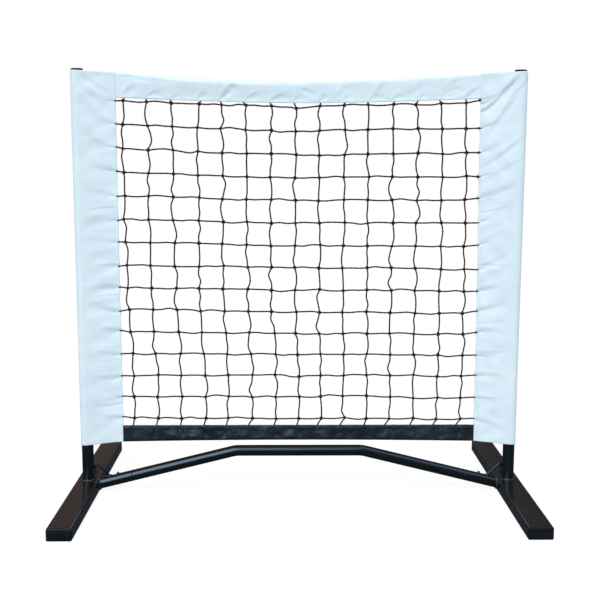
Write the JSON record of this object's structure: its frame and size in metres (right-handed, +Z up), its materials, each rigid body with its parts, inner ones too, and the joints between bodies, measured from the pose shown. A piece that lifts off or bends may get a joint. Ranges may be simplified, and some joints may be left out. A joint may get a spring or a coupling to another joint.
{
  "type": "portable net stand",
  "caption": "Free-standing sports net: square mesh between fabric post sleeves, on round posts, box-section feet and an arched tubular crossbar.",
  "frame": {"origin": "on the floor, midway between the posts and midway along the feet", "axes": "+X along the net to the right seen from the front, +Y from front to back along the feet, +Z up"},
  "size_m": [0.98, 0.596, 0.9143],
  "materials": {
    "painted_steel": "gloss black paint",
    "black_plastic": "satin moulded",
    "zinc_steel": "zinc plated",
    "spring_steel": "bare spring steel",
    "coated_fabric": "pale blue coated cloth",
    "black_vinyl": "semi-gloss vinyl tape",
    "twine": "knotted twine",
    "rope": "braided rope"
  },
  "bodies": {
    "base": {"left_foot_tube": "painted_steel", "right_foot_tube": "painted_steel", "left_front_foot_cap": "black_plastic", "left_rear_foot_cap": "black_plastic", "right_front_foot_cap": "black_plastic", "right_rear_foot_cap": "black_plastic", "left_post_stub": "painted_steel", "right_post_stub": "painted_steel", "left_post_spigot": "zinc_steel", "right_post_spigot": "zinc_steel", "left_crossbar_stub": "painted_steel", "right_crossbar_stub": "painted_steel", "left_crossbar_insert": "zinc_steel", "right_crossbar_insert": "zinc_steel", "left_gusset_rod": "painted_steel", "right_gusset_rod": "painted_steel", "left_snap_spring": "spring_steel", "right_snap_spring": "spring_steel", "crossbar": "painted_steel"},
    "left_post": {"left_post": "painted_steel", "left_post_cap": "black_plastic"},
    "right_post": {"right_post": "painted_steel", "right_post_cap": "black_plastic"},
    "net": {"left_sleeve": "coated_fabric", "right_sleeve": "coated_fabric", "top_band": "coated_fabric", "bottom_band": "black_vinyl", "net_mesh": "twine", "top_cord": "rope", "bottom_cord": "rope"},
    "left_button": {"left_snap_button": "zinc_steel"},
    "right_button": {"right_snap_button": "zinc_steel"}
  },
  "joints": [
    {"name": "left_post_lift", "type": "slide", "parent": "base", "child": "left_post", "axis": [0, 0, 1], "range_m": [0, 0.065]},
    {"name": "right_post_lift", "type": "slide", "parent": "base", "child": "right_post", "axis": [0, 0, 1], "range_m": [0, 0.065]},
    {"name": "net_lift", "type": "slide", "parent": "base", "child": "net", "axis": [0, 0, 1], "range_m": [0, 0.815]},
    {"name": "left_button_press", "type": "slide", "parent": "base", "child": "left_button", "axis": [0.2407, 0, -0.9706], "range_m": [0, 0.0062], "stiffness_N_per_m": 1500, "springref_m": -0.002, "deforming": ["left_snap_spring"]},
    {"name": "right_button_press", "type": "slide", "parent": "base", "child": "right_button", "axis": [-0.2407, 0, -0.9706], "range_m": [0, 0.0062], "stiffness_N_per_m": 1500, "springref_m": -0.002, "deforming": ["right_snap_spring"]}
  ]
}
